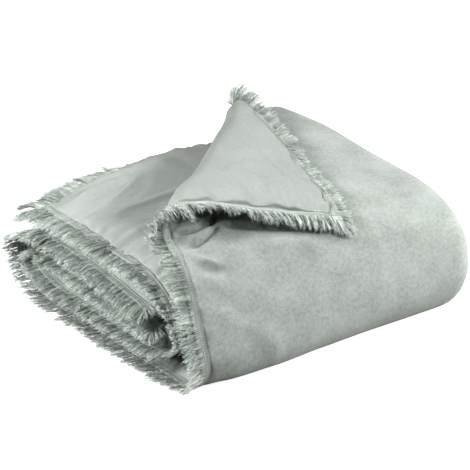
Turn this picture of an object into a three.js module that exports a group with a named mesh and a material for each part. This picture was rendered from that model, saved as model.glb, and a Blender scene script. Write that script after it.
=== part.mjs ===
// Folded eiderdown with a frayed fringe, resting on its bottom leaf. Millimetres, +Z up.
// One filled quilt is doubled along its length, then laid in three passes, one back corner turned over.
// Flat cloth coordinates: s runs across the quilt, t runs along it from the free back edge.
import * as THREE from 'three';

const WIDTH = 1400;            // across the open quilt
const LEAF = WIDTH / 2;        // width of each half once doubled
const LOFT = 34;               // filled thickness
const HEM = 22;                // flat hem outside the filling
const HEM_THICKNESS = 4.4;
const CROWN = 75;              // distance over which the filling rises from the hem
const FRINGE = 40;             // length of the frayed edge
const BACKING = 6;             // width of the strip that holds the frayed locks
const PARTING = 0.7;           // clear distance from the cloth edge to that strip
const LOCK_PITCH = 22;         // distance from lock to lock
const LOCK_ROOT = 14;          // width of a lock where it leaves the strip
const LOCK_TIP = 6;
const CORNER_LEAN = 16;        // the last lock at a corner leans out this far
const FRINGE_THICKNESS = 3;
const TIP_THICKNESS = 1.8;
const DROOP_SPAN = 60;         // length over which a hanging edge reaches its full droop
const CORNER_FOLD_SIDE = 521;  // where the turned corner's fold leaves the side edge
const CORNER_FOLD_BACK = 640;  // where it leaves the back edge
const ROLL_SIDE = 28;          // radius of that fold at the side edge, at mid thickness
const ROLL_MIDDLE = 22.5;      // half way along it
const ROLL_BACK = 40;          // at the back edge
const CORNER_DRAWN = 0.85;     // the filling draws the turned corner up to this share of its flat depth
const CORNER_SWING = 0.15;     // and it is pulled sideways, toward the fringed side
const CORNER_REST = 26;        // height of the tip of the turned corner over the cloth under it
const TUCK = 34;               // how far the fringed side is drawn in behind the shoulder
const TUCK_AT = 480;           // where along that side
const TUCK_LONG = 200;
const TUCK_WIDE = 500;         // how far in from the side the pull is felt

// Centre line of the outer leaf, from the free back edge round the front and the back turn.
// yOpen, zOpen: at the fringed side. yDoubled, zDoubled: at the doubled side.
// sag: how far the thin edge drops to the underside. droop: degrees the fringe hangs. cuts: rows to the next.
const OUTER_COLUMNS = ['name', 'yOpen', 'zOpen', 'yDoubled', 'zDoubled', 'sag', 'droop', 'cuts'];
const OUTER = [
  ['backEdge', 612, 270, 700, 300, 0.3, 0, 5],
  ['topBack', 450, 268, 500, 288, 0.0, 20, 4],
  ['topMiddle', 320, 266, 325, 260, 0.0, 20, 4],
  ['topFront', 205, 262, 176, 246, 0.0, 10, 4],
  ['shoulder', 128, 226, 88, 228, 0.0, 5, 3],
  ['frontHigh', 76, 166, 37, 188, 0.0, 0, 3],
  ['frontMiddle', 34, 98, 16, 130, 0.0, 0, 3],
  ['frontLow', 10, 46, 20, 66, 0.0, 0, 3],
  ['heel', 44, 18, 58, 24, 1.0, 0, 3],
  ['bottomFront', 120, 17, 125, 17, 1.0, 0, 3],
  ['bottomMiddle', 340, 17, 340, 17, 1.0, 0, 2],
  ['bottomBack', 550, 17, 540, 17, 1.0, 0, 3],
  ['turnLow', 664, 34, 626, 36, 0.3, 0, 4],
  ['turnBack', 708, 88, 664, 94, 0.0, 5, 4],
  ['turnHigh', 664, 142, 632, 152, 0.5, 30, 3],
  ['middleBack', 556, 164, 540, 170, 1.0, 70, 3],
  ['middleMiddle', 350, 154, 340, 168, 1.2, 75, 3],
  ['middleFront', 190, 136, 180, 162, 1.6, 75, 0],
];

// Centre line of the inner leaf, row for row with the outer one.
const INNER_COLUMNS = ['yOpen', 'zOpen', 'yDoubled', 'zDoubled', 'sag', 'droop'];
const INNER = [
  [600, 212, 690, 250, 0.6, 30],
  [450, 212, 480, 238, 0.6, 45],
  [320, 206, 315, 211, 0.6, 45],
  [205, 194, 190, 196, 0.4, 30],
  [142, 166, 134, 176, 0.2, 15],
  [98, 126, 90, 150, 0.0, 5],
  [76, 92, 74, 118, 0.0, 5],
  [76, 70, 80, 92, 0.0, 10],
  [110, 58, 114, 70, 0.5, 30],
  [175, 57, 175, 65, 1.0, 40],
  [350, 57, 340, 66, 1.0, 40],
  [530, 58, 530, 66, 1.0, 40],
  [612, 66, 588, 70, 0.3, 20],
  [642, 88, 614, 92, 0.0, 5],
  [612, 110, 588, 113, 0.4, 20],
  [530, 116, 530, 120, 0.9, 45],
  [350, 105, 340, 119, 1.0, 45],
  [165, 96, 160, 114, 1.2, 45],
];

// Soft swells and hollows of the filling: centre in the flat cloth, half widths and height at mid cloth.
const SWELL_COLUMNS = ['s', 't', 'halfS', 'halfT', 'rise'];
const SWELLS = [
  [330, 640, 190, 60, -5],
  [560, 300, 120, 160, 5],
  [200, 760, 120, 90, 4],
  [1110, 10, 220, 150, -30],
  [1240, 260, 90, 60, 5],
];

const KNOTS = OUTER.length;
const HALF_LOFT = LOFT / 2;
const HALF_HEM = HEM_THICKNESS / 2;
const DEGREE = Math.PI / 180;

const ease = (x) => {
  const c = Math.min(Math.max(x, 0), 1);
  return c * c * (3 - 2 * c);
};
const blend = (a, b, k) => a + (b - a) * k;
const within = (x, most) => Math.min(Math.max(x, 0), most);

// Smooth value of one table column at station u.
function column(table, index, u) {
  const last = table.length - 1;
  const i = Math.min(Math.floor(u), last - 1);
  const f = u - i;
  const b = table[i][index];
  const c = table[i + 1][index];
  const a = i > 0 ? table[i - 1][index] : 2 * b - c;
  const d = i < last - 1 ? table[i + 2][index] : 2 * c - b;
  const straight = b - c;
  return b + 0.5 * f * (c - a + f * (2 * a - 5 * b + 4 * c - d + f * (3 * straight + d - a)));
}

// Stations spaced by the mean length of the outer leaf.
const STATION_STEPS = 2000;
const walked = [0];
for (let i = 1; i <= STATION_STEPS; i++) {
  const at = [i - 1, i].map((k) => (k / STATION_STEPS) * (KNOTS - 1));
  const y = at.map((u) => (column(OUTER, 1, u) + column(OUTER, 3, u)) / 2);
  const z = at.map((u) => (column(OUTER, 2, u) + column(OUTER, 4, u)) / 2);
  walked.push(walked[i - 1] + Math.hypot(y[1] - y[0], z[1] - z[0]));
}
const LENGTH = walked[STATION_STEPS];

function stationAt(t) {
  const wanted = Math.min(Math.max(t, 0), LENGTH);
  let low = 0;
  let high = STATION_STEPS;
  while (high - low > 1) {
    const middle = (low + high) >> 1;
    if (walked[middle] > wanted) high = middle;
    else low = middle;
  }
  const f = (wanted - walked[low]) / (walked[high] - walked[low]);
  return ((low + f) / STATION_STEPS) * (KNOTS - 1);
}
const lengthAt = (u) => walked[Math.round((u / (KNOTS - 1)) * STATION_STEPS)];

// Half thickness of the filled cloth.
function halfAt(s, t) {
  const crown = (fromEdge) => {
    const x = Math.min(Math.max((fromEdge - HEM) / CROWN, 0), 1);
    return Math.sqrt(1 - (1 - x) * (1 - x));
  };
  const filled = crown(Math.min(s, WIDTH - s)) * crown(Math.min(t, LENGTH - t));
  return HALF_HEM + (HALF_LOFT - HALF_HEM) * filled;
}

// An edge that hangs follows an arc: how far it still reaches out, and how far it drops.
function hang(beyond, droop) {
  const turn = (droop * DEGREE) / DROOP_SPAN;
  if (beyond <= 0 || turn < 1e-4) return { out: Math.max(beyond, 0), drop: 0 };
  return { out: Math.sin(beyond * turn) / turn, drop: (1 - Math.cos(beyond * turn)) / turn };
}

function swellAt(s, t) {
  let rise = 0;
  for (const row of SWELLS) {
    const away = Math.hypot((s - row[0]) / row[2], (t - row[1]) / row[3]);
    rise += row[4] * ease(1 - away / 1.6);
  }
  return rise;
}

// The fringed side is drawn in behind the shoulder.
const tuckAt = (s, t) =>
  TUCK * Math.exp(-(((t - TUCK_AT) / TUCK_LONG) ** 2)) * (1 - ease(Math.max(s, 0) / TUCK_WIDE));

// Mid cloth of the doubled and folded quilt, before its corner is turned.
function foldedAt(s, t) {
  const u = stationAt(t);
  const outerOpen = [column(OUTER, 1, u), column(OUTER, 2, u)];
  const outerDoubled = [column(OUTER, 3, u), column(OUTER, 4, u)];
  const innerOpen = [column(INNER, 0, u), column(INNER, 1, u)];
  const innerDoubled = [column(INNER, 2, u), column(INNER, 3, u)];
  const gap = Math.hypot(innerDoubled[0] - outerDoubled[0], innerDoubled[1] - outerDoubled[1]);
  const bend = (Math.PI * gap) / 2;
  const reach = LEAF - bend / 2;
  const phi = Math.min(Math.max((s - reach) / bend, 0), 1) * Math.PI;
  const onInner = s > LEAF;
  const droop = onInner ? column(INNER, 5, u) : column(OUTER, 6, u);
  const side = hang(Math.max(-s, s - WIDTH, 0), droop);
  let x = reach + (gap / 2) * Math.sin(phi);
  if (phi <= 0) x = Math.max(s, 0) - side.out;
  if (phi >= Math.PI) x = Math.max(WIDTH - s, 0) - side.out;
  const k = Math.min(Math.max(x / reach, 0), 1);
  const m = (1 - Math.cos(phi)) / 2;
  const outer = [blend(outerOpen[0], outerDoubled[0], k), blend(outerOpen[1], outerDoubled[1], k)];
  const inner = [blend(innerOpen[0], innerDoubled[0], k), blend(innerOpen[1], innerDoubled[1], k)];
  const end = hang(Math.max(-t, t - LENGTH, 0), t < 0 ? 35 : 10);
  const y = blend(outer[0], inner[0], m) + (t < 0 ? end.out : -end.out);
  const sag = blend(column(OUTER, 5, u), column(INNER, 4, u), m);
  const thin = HALF_LOFT - halfAt(within(s, WIDTH), within(t, LENGTH));
  const z = blend(outer[1], inner[1], m) - sag * thin - side.drop - end.drop;
  return new THREE.Vector3(x + tuckAt(s, t), y, z);
}

// Velvet side of a sheet, from two short steps on it.
function facing(sheet, s, t) {
  const step = 1.5;
  const alongS = sheet(s + step, t).sub(sheet(s - step, t));
  const alongT = sheet(s, t + step).sub(sheet(s, t - step));
  return alongT.cross(alongS).normalize();
}

const foldSpan = Math.hypot(CORNER_FOLD_SIDE, CORNER_FOLD_BACK);
const ACROSS = [CORNER_FOLD_SIDE / foldSpan, CORNER_FOLD_BACK / foldSpan];
const CORNER_DEPTH = (CORNER_FOLD_SIDE * CORNER_FOLD_BACK) / foldSpan;

// Radius of the turned corner's fold at a share k of its length.
function rollAt(k) {
  const side = within(1 - 2 * k, 1) ** 2;
  const back = within(2 * k - 1, 1) ** 2;
  return ROLL_SIDE * side + ROLL_BACK * back + ROLL_MIDDLE * (1 - side - back);
}

// Mid cloth with the back corner rolled over and laid on the velvet.
function clothAt(s, t) {
  const past = CORNER_DEPTH - s * ACROSS[0] - t * ACROSS[1];
  if (past <= 0 || s > CORNER_FOLD_BACK + 60 || t > CORNER_FOLD_SIDE + 80) return foldedAt(s, t);
  const edge = hang(Math.max(-s, 0), 75);
  const back = hang(Math.max(-t, 0), 35);
  const flatS = Math.max(s, 0) - edge.out;
  const flatT = Math.max(t, 0) - back.out;
  const w = CORNER_DEPTH - flatS * ACROSS[0] - flatT * ACROSS[1];
  const alongFold = flatS * ACROSS[1] - flatT * ACROSS[0] + CORNER_FOLD_SIDE * ACROSS[0];
  const roll = rollAt(alongFold / foldSpan);
  const halfTurn = Math.PI * roll;
  const theta = Math.min(w / roll, Math.PI);
  const beyond = Math.max(w - halfTurn, 0);
  const moved = w - (w < halfTurn ? roll * Math.sin(theta) : -beyond * CORNER_DRAWN);
  const settle = ease(beyond / (CORNER_DEPTH - halfTurn));
  const lift = roll * (1 - Math.cos(theta)) - (2 * roll - CORNER_REST) * settle;
  const lowest = Math.min(lift, HALF_LOFT + 5);
  const hung = Math.max(lift - edge.drop * Math.sin(theta / 2) - back.drop * Math.sin(theta / 2), lowest);
  const swing = beyond * CORNER_SWING * ease(beyond / 120);
  const toS = flatS + moved * ACROSS[0] - swing * ACROSS[1];
  const toT = flatT + moved * ACROSS[1] + swing * ACROSS[0];
  return foldedAt(toS, toT).addScaledVector(facing(foldedAt, toS, toT), hung);
}

// A closed sheet from rows of flat cloth points and the cells between them.
function sheetSolid(points, cells) {
  const positions = [];
  for (const face of [1, -1]) {
    for (const point of points) {
      const normal = facing(clothAt, point.s, point.t);
      const rise = swellAt(within(point.s, WIDTH), within(point.t, LENGTH)) + (point.flare ?? 0);
      const place = clothAt(point.s, point.t);
      place.addScaledVector(normal, face * point.half + rise);
      positions.push(place.x, place.y, Math.max(place.z, 0));
    }
  }
  const count = points.length;
  const index = [];
  const sides = new Map();
  for (const [a, b, c, d] of cells) {
    index.push(a, b, c, a, c, d);
    index.push(count + a, count + c, count + b, count + a, count + d, count + c);
    for (const [from, to] of [[a, b], [b, c], [c, d], [d, a]]) {
      if (sides.has(`${to},${from}`)) sides.delete(`${to},${from}`);
      else sides.set(`${from},${to}`, [from, to]);
    }
  }
  for (const [from, to] of sides.values()) {
    index.push(from, count + from, to, to, count + from, count + to);
  }
  const geometry = new THREE.BufferGeometry();
  geometry.setAttribute('position', new THREE.Float32BufferAttribute(positions, 3));
  geometry.setIndex(index);
  geometry.computeVertexNormals();
  return geometry;
}

// Lines of the filled body: close at the crown and the doubled side, and in step with the fold of
// the turned corner, so that each row of cells runs parallel to it.
const FOLD_LINES = 21;
const INNER_SPACING = 140;

function bodyLines() {
  const crown = [0, HEM, HEM + 8, HEM + 32];
  const stepS = CORNER_FOLD_BACK / FOLD_LINES;
  const stepT = CORNER_FOLD_SIDE / FOLD_LINES;
  const across = [...crown];
  const along = [...crown];
  for (let i = 3; i * stepS < LEAF - 56; i++) across.push(i * stepS);
  for (let i = 0; i <= 6; i++) across.push(LEAF - 48 + i * 16);
  for (let s = LEAF + 110; s < WIDTH - 130; s += INNER_SPACING) across.push(s);
  for (const edge of [HEM + CROWN, ...crown.reverse()]) across.push(WIDTH - edge);
  for (let j = 3; j <= FOLD_LINES + 1; j++) along.push(j * stepT);
  for (let i = 0; i < KNOTS - 1; i++) {
    for (let j = 0; j < OUTER[i][7]; j++) along.push(lengthAt(i + j / OUTER[i][7]));
  }
  const coarse = (t) => t < stepT * (FOLD_LINES + 1.5) || t > LENGTH - HEM - CROWN - 15;
  const fine = (t, k) => k < crown.length + FOLD_LINES - 1;
  const kept = along.filter((t, k) => fine(t, k) || !coarse(t));
  for (const edge of [HEM + CROWN, ...crown]) kept.push(LENGTH - edge);
  return { across, kept };
}

function bodyGeometry() {
  const { across, kept } = bodyLines();
  const points = [];
  for (const t of kept) {
    for (const s of across) points.push({ s, t, half: halfAt(s, t) });
  }
  const cells = [];
  const wide = across.length;
  for (let row = 0; row < kept.length - 1; row++) {
    for (let i = 0; i < wide - 1; i++) {
      const a = row * wide + i;
      cells.push([a + wide, a + wide + 1, a + 1, a]);
    }
  }
  return sheetSolid(points, cells);
}

// Frayed strips. side: which cloth edge. from, to: along that edge. pitch: from lock to lock.
// hanging: 1 where the locks bend down, 0 where they stand straight out.
// flare: how far their tips rise on the velvet side, or below 0 on the cotton side.
const STRIP_COLUMNS = ['name', 'side', 'from', 'to', 'pitch', 'hanging', 'parting', 'flare'];
const topEnds = lengthAt(3);
const frontEnds = lengthAt(8);
const bottomEnds = lengthAt(12);
const turnEnds = lengthAt(15);
const hidden = LOCK_PITCH * 2.2;
const rollFrom = CORNER_FOLD_SIDE - (Math.PI * ROLL_SIDE) / ACROSS[1];
const rollTo = CORNER_FOLD_SIDE + 30;
const backRollFrom = CORNER_FOLD_BACK - (Math.PI * ROLL_BACK) / ACROSS[0];
const STRIPS = [
  ['fringeCornerSide', 'sideOuter', 4, rollFrom - 2, LOCK_PITCH, 1, PARTING, 0],
  ['fringeOuterRoll', 'sideOuter', rollFrom, rollTo, LOCK_PITCH, 0, PARTING * 2, 0],
  ['fringeOuterFront', 'sideOuter', rollTo + 2, frontEnds, LOCK_PITCH, 0, PARTING, 0],
  ['fringeOuterBottom', 'sideOuter', frontEnds + 2, bottomEnds, LOCK_PITCH, 0, PARTING, 0],
  ['fringeOuterTurn', 'sideOuter', bottomEnds + 2, turnEnds, LOCK_PITCH, 0, PARTING, 0],
  ['fringeOuterMiddle', 'sideOuter', turnEnds + 2, LENGTH - 4, LOCK_PITCH, 1, PARTING, 0],
  ['fringeInnerTop', 'sideInner', 4, topEnds, LOCK_PITCH, 1, PARTING, 0],
  ['fringeInnerFront', 'sideInner', topEnds + 2, frontEnds, LOCK_PITCH, 0, PARTING, 0],
  ['fringeInnerBottom', 'sideInner', frontEnds + 2, bottomEnds, LOCK_PITCH, 1, PARTING, 0],
  ['fringeInnerTurn', 'sideInner', bottomEnds + 2, turnEnds, LOCK_PITCH * 1.4, 0, PARTING, 0],
  ['fringeInnerMiddle', 'sideInner', turnEnds + 2, LENGTH - 4, LOCK_PITCH, 1, PARTING, 0],
  ['fringeCornerBack', 'back', 4, backRollFrom - 2, LOCK_PITCH, 1, PARTING, 0],
  ['fringeBackRoll', 'back', backRollFrom, LEAF - 52, LOCK_PITCH, 0, PARTING, -16],
  ['fringeBackDoubled', 'back', LEAF - 50, LEAF + 60, LOCK_PITCH, 0, PARTING, 0],
  ['fringeBackInner', 'back', LEAF + 62, WIDTH - 4, LOCK_PITCH, 0, PARTING, 0],
  ['fringeEndOuter', 'end', 4, LEAF - 50, hidden, 0, PARTING, 0],
  ['fringeEndInner', 'end', LEAF + 50, WIDTH - 4, hidden, 0, PARTING, 0],
];

function edgePoint(side, along, beyond) {
  if (side === 'sideOuter') return { s: -beyond, t: along };
  if (side === 'sideInner') return { s: WIDTH + beyond, t: along };
  if (side === 'back') return { s: along, t: -beyond };
  return { s: along, t: LENGTH + beyond };
}

// Even spread of lengths and leans without any chance in it.
const uneven = (i, rate) => Math.sin(i * rate + 0.7 * Math.sin(i * 1.7));

function stripGeometry([, side, from, to, pitch, hanging, parting, flare]) {
  const count = Math.max(Math.round((to - from) / pitch), 1);
  const step = (to - from) / count;
  const alongEnd = side === 'back' || side === 'end' ? WIDTH : LENGTH;
  const cornerLean = [from < 5 ? -CORNER_LEAN : 0, to > alongEnd - 5 ? CORNER_LEAN : 0];
  const points = [];
  const cells = [];
  const flip = side === 'sideInner' || side === 'back';
  const add = (along, beyond, thick, k = 0) => {
    points.push({ ...edgePoint(side, along, beyond), half: thick / 2, flare: flare * k });
    return points.length - 1;
  };
  const cell = (a, b, c, d) => cells.push(flip ? [a, b, c, d] : [d, c, b, a]);
  let inner = add(from, parting, FRINGE_THICKNESS);
  let outer = add(from, BACKING, FRINGE_THICKNESS);
  for (let i = 0; i < count; i++) {
    const root = Math.min(LOCK_ROOT, step - 4);
    const held = [outer];
    for (const stop of [from + i * step + root, from + (i + 1) * step]) {
      const nextInner = add(stop, parting, FRINGE_THICKNESS);
      const nextOuter = add(stop, BACKING, FRINGE_THICKNESS);
      cell(inner, nextInner, nextOuter, outer);
      held.push(nextOuter);
      inner = nextInner;
      outer = nextOuter;
    }
    const middle = from + i * step + root / 2;
    const reach = FRINGE * (0.9 + 0.1 * uneven(i, 2.3));
    const lean = 3 * uneven(i, 1.1) + (i === 0 ? cornerLean[0] : 0) + (i === count - 1 ? cornerLean[1] : 0);
    const bends = hanging ? [0.55, 1] : [1];
    let [left, right] = held;
    for (const k of bends) {
      const half = blend(root, LOCK_TIP, k) / 2;
      const thick = blend(FRINGE_THICKNESS, TIP_THICKNESS, k);
      const out = blend(BACKING, reach, k);
      const nextLeft = add(middle + lean * k - half, out, thick, k);
      const nextRight = add(middle + lean * k + half, out, thick, k);
      cell(left, right, nextRight, nextLeft);
      left = nextLeft;
      right = nextRight;
    }
  }
  return sheetSolid(points, cells);
}

const quilt = new THREE.Group();
quilt.name = 'eiderdown';

function addPiece(name, geometry, colour, roughness) {
  const material = new THREE.MeshStandardMaterial({ color: colour, roughness, metalness: 0 });
  const mesh = new THREE.Mesh(geometry, material);
  mesh.name = name;
  quilt.add(mesh);
}

addPiece('quiltBody', bodyGeometry(), 0xb2beb6, 0.9);
for (const strip of STRIPS) addPiece(strip[0], stripGeometry(strip), 0xa9b5ad, 0.95);

// The origin goes to the middle of the footprint, on the surface that the quilt rests on.
const extent = new THREE.Box3().setFromObject(quilt);
const middle = extent.getCenter(new THREE.Vector3());
for (const mesh of quilt.children) mesh.geometry.translate(-middle.x, -middle.y, -extent.min.z);

export default quilt;
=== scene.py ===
import bpy
import bmesh
import math
import numpy as np
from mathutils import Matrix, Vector


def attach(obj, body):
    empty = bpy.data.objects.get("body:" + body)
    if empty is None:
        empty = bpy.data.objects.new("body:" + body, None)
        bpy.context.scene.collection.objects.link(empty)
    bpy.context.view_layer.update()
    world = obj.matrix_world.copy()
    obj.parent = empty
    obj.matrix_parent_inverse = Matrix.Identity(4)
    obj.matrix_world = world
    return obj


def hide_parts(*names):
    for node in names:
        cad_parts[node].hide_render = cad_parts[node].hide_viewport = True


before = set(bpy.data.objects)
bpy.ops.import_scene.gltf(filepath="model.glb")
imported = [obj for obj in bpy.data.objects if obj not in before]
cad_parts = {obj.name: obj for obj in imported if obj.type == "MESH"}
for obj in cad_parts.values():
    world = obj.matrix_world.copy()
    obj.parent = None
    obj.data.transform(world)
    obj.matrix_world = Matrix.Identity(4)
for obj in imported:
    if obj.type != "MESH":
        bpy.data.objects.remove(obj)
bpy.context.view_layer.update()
print("frame loaded:", len(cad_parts), "solids")

# the folded cloth
# flat cloth, in millimetres: s runs across the open eiderdown, t along it from the free back edge
quilt = {
    "width": 1400.0, "loft": 34.0, "hem": 22.0, "hemThickness": 4.4, "crown": 75.0,
    "droopSpan": 60.0,
    "foldSide": 521.0, "foldBack": 640.0,      # where the turned corner's fold meets the two edges
    "rollSide": 28.0, "rollMiddle": 22.5, "rollBack": 40.0,
    "drawn": 0.85, "cornerRest": 26.0, "cornerClear": 5.0,
    "swing": 0.15, "swingReach": 120.0,
    "pastBack": 60.0, "pastSide": 80.0,        # how far the turned corner's fray reaches past the fold's ends
    "sideDroop": 75.0, "backDroop": 35.0, "endDroop": 10.0,
    "tuck": 34.0, "tuckAt": 480.0, "tuckLong": 200.0, "tuckWide": 500.0,
    "middleX": 332.0888, "middleY": 364.7963,  # middle of the footprint
    "lowest": 0.05,                            # nothing lies lower above the surface
    "swellReach": 1.6,                         # how far a swell runs out, in its half widths
}
# y and z at the fringed side, y and z at the doubled side, sag of the thin edge, droop of the fringe
outerLine = np.array([
    [612, 270, 700, 300, 0.3, 0],       # back edge
    [450, 268, 500, 288, 0.0, 20],
    [320, 266, 325, 260, 0.0, 20],
    [205, 262, 176, 246, 0.0, 10],
    [128, 226, 88, 228, 0.0, 5],        # shoulder
    [76, 166, 37, 188, 0.0, 0],
    [34, 98, 16, 130, 0.0, 0],          # front turn
    [10, 46, 20, 66, 0.0, 0],
    [44, 18, 58, 24, 1.0, 0],
    [120, 17, 125, 17, 1.0, 0],         # bottom
    [340, 17, 340, 17, 1.0, 0],
    [550, 17, 540, 17, 1.0, 0],
    [664, 34, 626, 36, 0.3, 0],
    [708, 88, 664, 94, 0.0, 5],         # back turn
    [664, 142, 632, 152, 0.5, 30],
    [556, 164, 540, 170, 1.0, 70],      # middle pass
    [350, 154, 340, 168, 1.2, 75],
    [190, 136, 180, 162, 1.6, 75],
], float)
innerLine = np.array([
    [600, 212, 690, 250, 0.6, 30],
    [450, 212, 480, 238, 0.6, 45],
    [320, 206, 315, 211, 0.6, 45],
    [205, 194, 190, 196, 0.4, 30],
    [142, 166, 134, 176, 0.2, 15],
    [98, 126, 90, 150, 0.0, 5],
    [76, 92, 74, 118, 0.0, 5],
    [76, 70, 80, 92, 0.0, 10],
    [110, 58, 114, 70, 0.5, 30],
    [175, 57, 175, 65, 1.0, 40],
    [350, 57, 340, 66, 1.0, 40],
    [530, 58, 530, 66, 1.0, 40],
    [612, 66, 588, 70, 0.3, 20],
    [642, 88, 614, 92, 0.0, 5],
    [612, 110, 588, 113, 0.4, 20],
    [530, 116, 530, 120, 0.9, 45],
    [350, 105, 340, 119, 1.0, 45],
    [165, 96, 160, 114, 1.2, 45],
], float)
# soft swells: s, t, half width across, half width along, rise on the velvet side
swells = [
    (330, 640, 190, 60, -5),
    (560, 300, 120, 160, 5),
    (200, 760, 120, 90, 4),
    (1110, 10, 220, 150, -30),
    (1240, 260, 90, 60, 5),
]
leaf = quilt["width"] / 2
halfLoft = quilt["loft"] / 2
halfHem = quilt["hemThickness"] / 2
knots = len(outerLine)
fineSteps = 2000      # steps along the whole fold line, for its length


def ease(x):
    # 0 to 1 with a soft start and end
    c = np.clip(x, 0, 1)
    return c * c * (3 - 2 * c)


def smoothRow(values, u):
    # value of a table column at station u, by the same curve as the solids
    last = len(values) - 1
    padded = np.concatenate([[2 * values[0] - values[1]], values, [2 * values[-1] - values[-2]]])
    i = np.minimum(np.floor(u).astype(int), last - 1)
    f = u - i
    a, b, c, d = padded[i], padded[i + 1], padded[i + 2], padded[i + 3]
    return b + 0.5 * f * (c - a + f * (2 * a - 5 * b + 4 * c - d + f * (3 * (b - c) + d - a)))


stations = np.linspace(0, knots - 1, fineSteps + 1)
centreY = (smoothRow(outerLine[:, 0], stations) + smoothRow(outerLine[:, 2], stations)) / 2
centreZ = (smoothRow(outerLine[:, 1], stations) + smoothRow(outerLine[:, 3], stations)) / 2
walked = np.concatenate([[0], np.cumsum(np.hypot(np.diff(centreY), np.diff(centreZ)))])
length = walked[-1]


def lengthAt(station):
    return walked[int(round(station / (knots - 1) * fineSteps))]


def halfAt(s, t):
    # half the thickness: the flat hem, then the crown of the filling
    def crown(fromEdge):
        x = np.clip((fromEdge - quilt["hem"]) / quilt["crown"], 0, 1)
        return np.sqrt(1 - (1 - x) ** 2)
    filled = crown(np.minimum(s, quilt["width"] - s)) * crown(np.minimum(t, length - t))
    return halfHem + (halfLoft - halfHem) * filled


def hang(beyond, droop):
    # how far the fray reaches out and down, where it droops along an arc
    turn = np.maximum(np.radians(droop) / quilt["droopSpan"], 1e-5)
    angle = np.maximum(beyond, 0) * turn
    return np.sin(angle) / turn, (1 - np.cos(angle)) / turn


def swellAt(s, t):
    rise = np.zeros(np.broadcast(s, t).shape)
    for midS, midT, halfS, halfT, height in swells:
        away = np.hypot((s - midS) / halfS, (t - midT) / halfT)
        rise = rise + height * ease(1 - away / quilt["swellReach"])
    return rise


def foldedAt(s, t):
    # place in the folded pad of a point of the flat cloth, the corner not yet turned
    u = np.interp(np.clip(t, 0, length), walked, stations)
    o = [smoothRow(outerLine[:, k], u) for k in range(6)]
    n = [smoothRow(innerLine[:, k], u) for k in range(6)]
    gap = np.hypot(n[2] - o[2], n[3] - o[3])
    bend = np.pi * gap / 2
    reach = leaf - bend / 2
    phi = np.clip((s - reach) / bend, 0, 1) * np.pi
    droop = np.where(s > leaf, n[5], o[5])
    out, drop = hang(np.maximum(np.maximum(-s, s - quilt["width"]), 0), droop)
    x = reach + gap / 2 * np.sin(phi)
    x = np.where(phi <= 0, np.maximum(s, 0) - out, x)
    x = np.where(phi >= np.pi, np.maximum(quilt["width"] - s, 0) - out, x)
    k = np.clip(x / reach, 0, 1)
    m = (1 - np.cos(phi)) / 2
    endTurn = np.where(t < 0, quilt["backDroop"], quilt["endDroop"])
    endOut, endDrop = hang(np.maximum(-t, t - length), endTurn)
    y = (o[0] + (o[2] - o[0]) * k) * (1 - m) + (n[0] + (n[2] - n[0]) * k) * m
    z = (o[1] + (o[3] - o[1]) * k) * (1 - m) + (n[1] + (n[3] - n[1]) * k) * m
    sag = o[4] * (1 - m) + n[4] * m
    thin = halfLoft - halfAt(np.clip(s, 0, quilt["width"]), np.clip(t, 0, length))
    y = y + np.where(t < 0, endOut, -endOut)
    z = z - sag * thin - drop - endDrop
    # the fringed side is drawn in behind the shoulder
    tuck = quilt["tuck"] * np.exp(-((t - quilt["tuckAt"]) / quilt["tuckLong"]) ** 2)
    x = x + tuck * (1 - ease(np.maximum(s, 0) / quilt["tuckWide"]))
    return np.stack([x, y, z], -1)


def facing(sheet, s, t, step=1.5):
    # unit normal on the velvet side
    alongS = sheet(s + step, t) - sheet(s - step, t)
    alongT = sheet(s, t + step) - sheet(s, t - step)
    normal = np.cross(alongT, alongS)
    return normal / np.maximum(np.linalg.norm(normal, axis=-1, keepdims=True), 1e-9)


foldSpan = math.hypot(quilt["foldSide"], quilt["foldBack"])
acrossS, acrossT = quilt["foldSide"] / foldSpan, quilt["foldBack"] / foldSpan
cornerDepth = quilt["foldSide"] * quilt["foldBack"] / foldSpan


def clothAt(s, t):
    # place in the folded pad, the corner rolled over onto the velvet
    s, t = np.broadcast_arrays(np.asarray(s, float), np.asarray(t, float))
    place = foldedAt(s, t)
    turned = cornerDepth - s * acrossS - t * acrossT > 0
    turned &= (s <= quilt["foldBack"] + quilt["pastBack"]) & (t <= quilt["foldSide"] + quilt["pastSide"])
    if not turned.any():
        return place
    a, b = s[turned], t[turned]
    sideOut, sideDrop = hang(-a, quilt["sideDroop"])
    backOut, backDrop = hang(-b, quilt["backDroop"])
    flatS, flatT = np.maximum(a, 0) - sideOut, np.maximum(b, 0) - backOut
    w = cornerDepth - flatS * acrossS - flatT * acrossT
    alongFold = flatS * acrossT - flatT * acrossS + quilt["foldSide"] * acrossS
    k = np.clip(alongFold / foldSpan, 0, 1)
    nearSide, nearBack = np.clip(1 - 2 * k, 0, 1) ** 2, np.clip(2 * k - 1, 0, 1) ** 2
    roll = quilt["rollSide"] * nearSide + quilt["rollBack"] * nearBack
    roll += quilt["rollMiddle"] * (1 - nearSide - nearBack)
    halfTurn = np.pi * roll
    theta = np.clip(w / roll, 0, np.pi)
    beyond = np.maximum(w - halfTurn, 0)
    moved = w - np.where(w < halfTurn, roll * np.sin(theta), -beyond * quilt["drawn"])
    settle = ease(beyond / (cornerDepth - halfTurn))
    lift = roll * (1 - np.cos(theta)) - (2 * roll - quilt["cornerRest"]) * settle
    fall = (sideDrop + backDrop) * np.sin(theta / 2)
    lift = np.maximum(lift - fall, np.minimum(lift, halfLoft + quilt["cornerClear"]))
    swing = beyond * quilt["swing"] * ease(beyond / quilt["swingReach"])
    toS = flatS + moved * acrossS - swing * acrossT
    toT = flatT + moved * acrossT + swing * acrossS
    place[turned] = foldedAt(toS, toT) + facing(foldedAt, toS, toT) * lift[..., None]
    return place


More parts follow.
